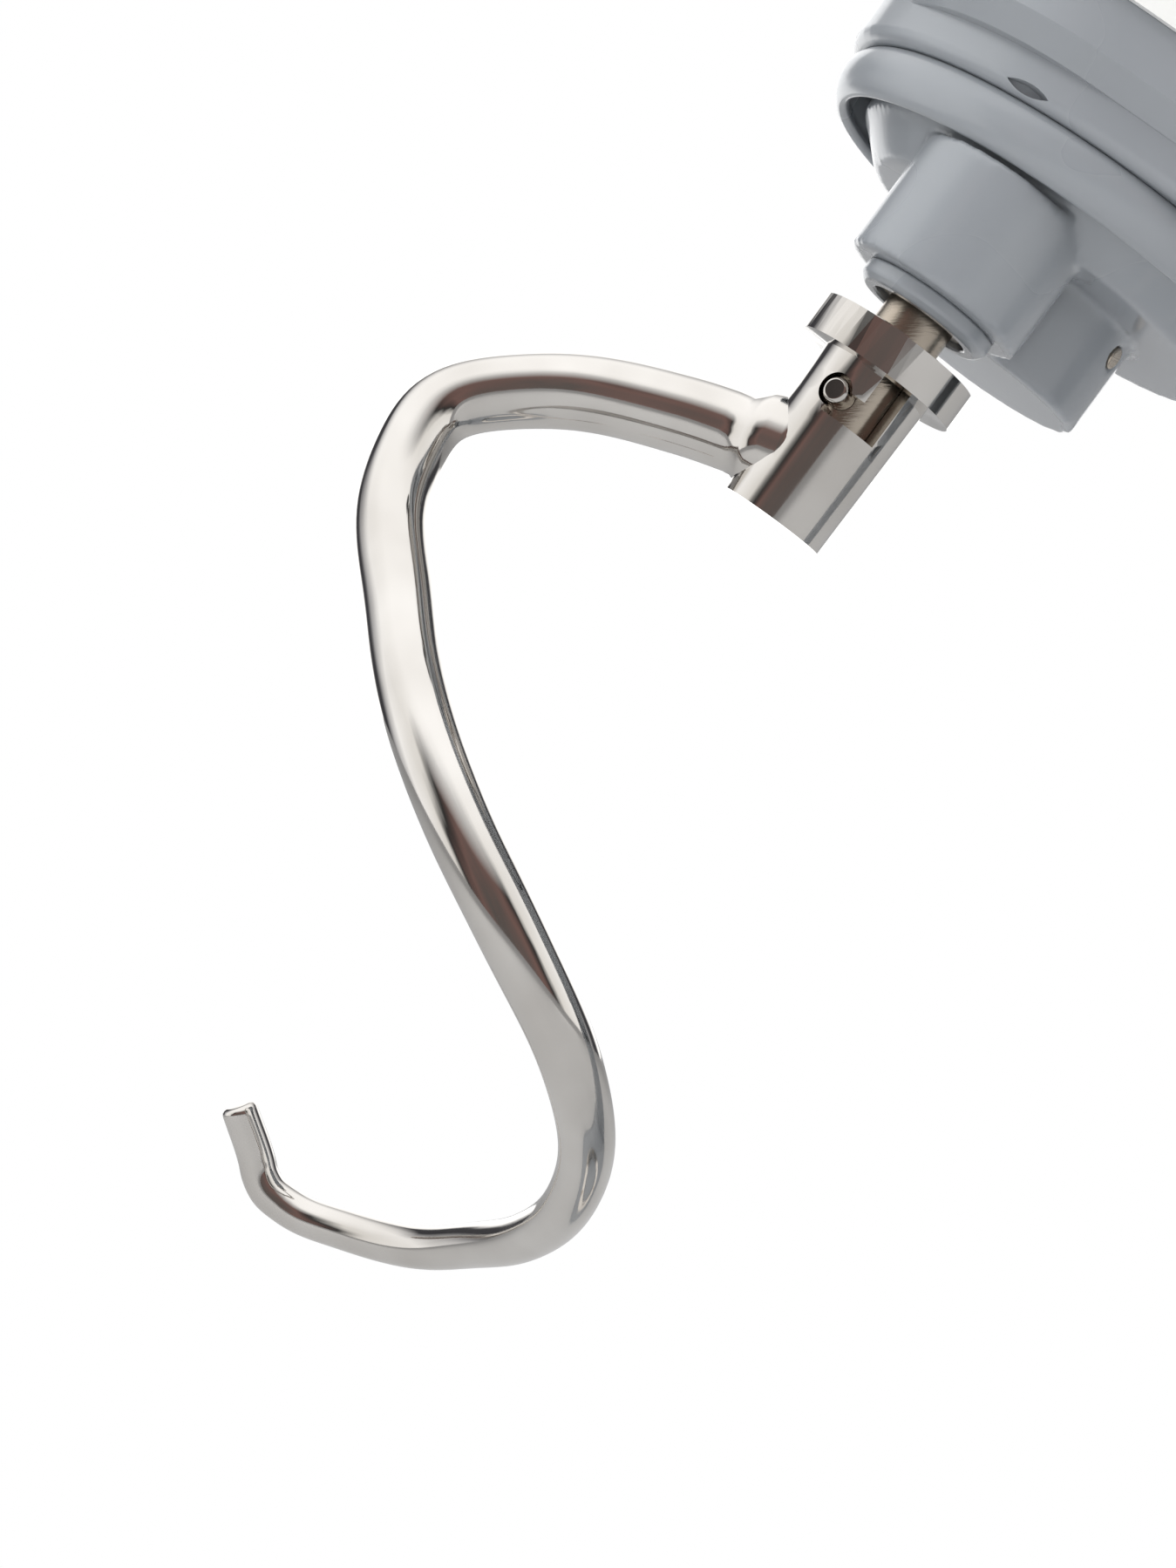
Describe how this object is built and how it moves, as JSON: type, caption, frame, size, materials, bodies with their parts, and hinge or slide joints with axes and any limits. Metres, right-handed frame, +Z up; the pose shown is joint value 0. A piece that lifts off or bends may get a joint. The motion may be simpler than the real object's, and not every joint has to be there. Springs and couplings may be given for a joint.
{
  "type": "stand mixer",
  "caption": "Tilt-head stand mixer with its head raised: column base, bowl clamp plate, planetary drive and a spiral dough hook on a bayonet shaft.",
  "frame": {"origin": "centre of the footprint of the whole mixer with its head raised, on the table", "axes": "+Z up, -X the front of the mixer, where the head points when closed, +Y to the left of someone who stands at the front and looks at the mixer"},
  "size_m": [0.4553, 0.2, 0.5272],
  "materials": {
    "grey_paint": "gloss grey enamel",
    "pale_trim": "near-white gloss",
    "bright_steel": "mirror polished",
    "satin_nickel": "satin nickel",
    "dark_steel": "machined",
    "black_plastic": "fine matte",
    "black_rubber": "matte",
    "bearing_bronze": "sintered"
  },
  "bodies": {
    "base": {"base_casting": "grey_paint", "bowl_plate": "bright_steel", "bowl_plate_screw_1": "satin_nickel", "bowl_plate_screw_2": "satin_nickel", "bowl_plate_screw_3": "satin_nickel", "base_cover": "dark_steel", "rubber_foot_1": "black_rubber", "rubber_foot_2": "black_rubber", "rubber_foot_3": "black_rubber", "rubber_foot_4": "black_rubber", "hinge_pin": "bright_steel", "height_screw": "satin_nickel", "cord_gland": "black_plastic"},
    "head": {"upper_casting": "grey_paint", "rear_cover": "grey_paint", "rear_cover_screw": "satin_nickel", "lower_casting": "grey_paint", "trim_band": "pale_trim", "drip_ring": "grey_paint", "attachment_barrel": "bright_steel", "barrel_cap_pin": "satin_nickel", "speed_plate": "pale_trim", "brush_cap_1": "black_plastic", "brush_cap_2": "black_plastic", "front_bracket": "dark_steel", "rear_bracket": "dark_steel", "motor_stator": "dark_steel", "brush_holder_1": "black_plastic", "brush_holder_2": "black_plastic", "ring_gear": "dark_steel", "centre_bearing": "bearing_bronze"},
    "cap": {"barrel_cap": "bright_steel"},
    "knob": {"barrel_knob": "black_plastic"},
    "lever": {"speed_lever": "black_plastic"},
    "lock": {"lock_lever": "black_plastic"},
    "motor": {"motor_rotor": "dark_steel", "worm": "dark_steel", "motor_fan": "black_plastic"},
    "worm_shaft": {"worm_gear": "dark_steel"},
    "attachment": {"attachment_drive": "satin_nickel"},
    "planetary": {"planetary_hub": "grey_paint", "hub_pin": "satin_nickel", "boss_ring": "grey_paint", "centre_gear": "dark_steel", "centre_shaft": "satin_nickel"},
    "agitator": {"agitator_shaft": "satin_nickel", "agitator_pinion": "dark_steel", "cross_pin": "bright_steel", "shaft_clip": "satin_nickel", "dough_hook": "bright_steel"}
  },
  "joints": [
    {"name": "head_tilt", "type": "hinge", "parent": "base", "child": "head", "pos_m": [0.112, 0, 0.29], "axis": [0, -1, 0], "range_deg": [0, 36.4]},
    {"name": "planetary_spin", "type": "hinge", "parent": "head", "child": "planetary", "pos_m": [-0.0869, 0, 0.39937], "axis": [0.5934, 0, 0.8049], "continuous": true},
    {"name": "agitator_spin", "type": "hinge", "parent": "planetary", "child": "agitator", "pos_m": [-0.10521, -0.03007, 0.39299], "axis": [0.5934, 0, 0.8049], "continuous": true},
    {"name": "worm_gear_spin", "type": "hinge", "parent": "head", "child": "worm_shaft", "pos_m": [-0.00512, 0.0263, 0.42604], "axis": [0.5934, 0, 0.8049], "continuous": true},
    {"name": "motor_spin", "type": "hinge", "parent": "head", "child": "motor", "pos_m": [0.07068, 0, 0.40247], "axis": [0.8049, 0, -0.5934], "continuous": true},
    {"name": "attachment_spin", "type": "hinge", "parent": "head", "child": "attachment", "pos_m": [-0.06701, 0, 0.48534], "axis": [0.8049, 0, -0.5934], "continuous": true},
    {"name": "speed_slide", "type": "slide", "parent": "head", "child": "lever", "axis": [0.8049, 0, -0.5934], "range_m": [0, 0.04]},
    {"name": "lock_turn", "type": "hinge", "parent": "head", "child": "lock", "pos_m": [0.05367, -0.056, 0.34232], "axis": [0, 1, 0], "range_deg": [0, 70]},
    {"name": "cap_flip", "type": "hinge", "parent": "head", "child": "cap", "pos_m": [-0.07678, 0, 0.52062], "axis": [0, 1, 0], "range_deg": [0, 110]},
    {"name": "knob_turn", "type": "hinge", "parent": "head", "child": "knob", "pos_m": [-0.08552, -0.03, 0.49899], "axis": [0, -1, 0], "continuous": true}
  ],
  "couplings": [
    {"joint": "agitator_spin", "follows": "planetary_spin", "ratio": -4.3333},
    {"joint": "worm_gear_spin", "follows": "planetary_spin", "ratio": -3.608},
    {"joint": "motor_spin", "follows": "planetary_spin", "ratio": 30.668},
    {"joint": "attachment_spin", "follows": "planetary_spin", "ratio": -1.07}
  ]
}
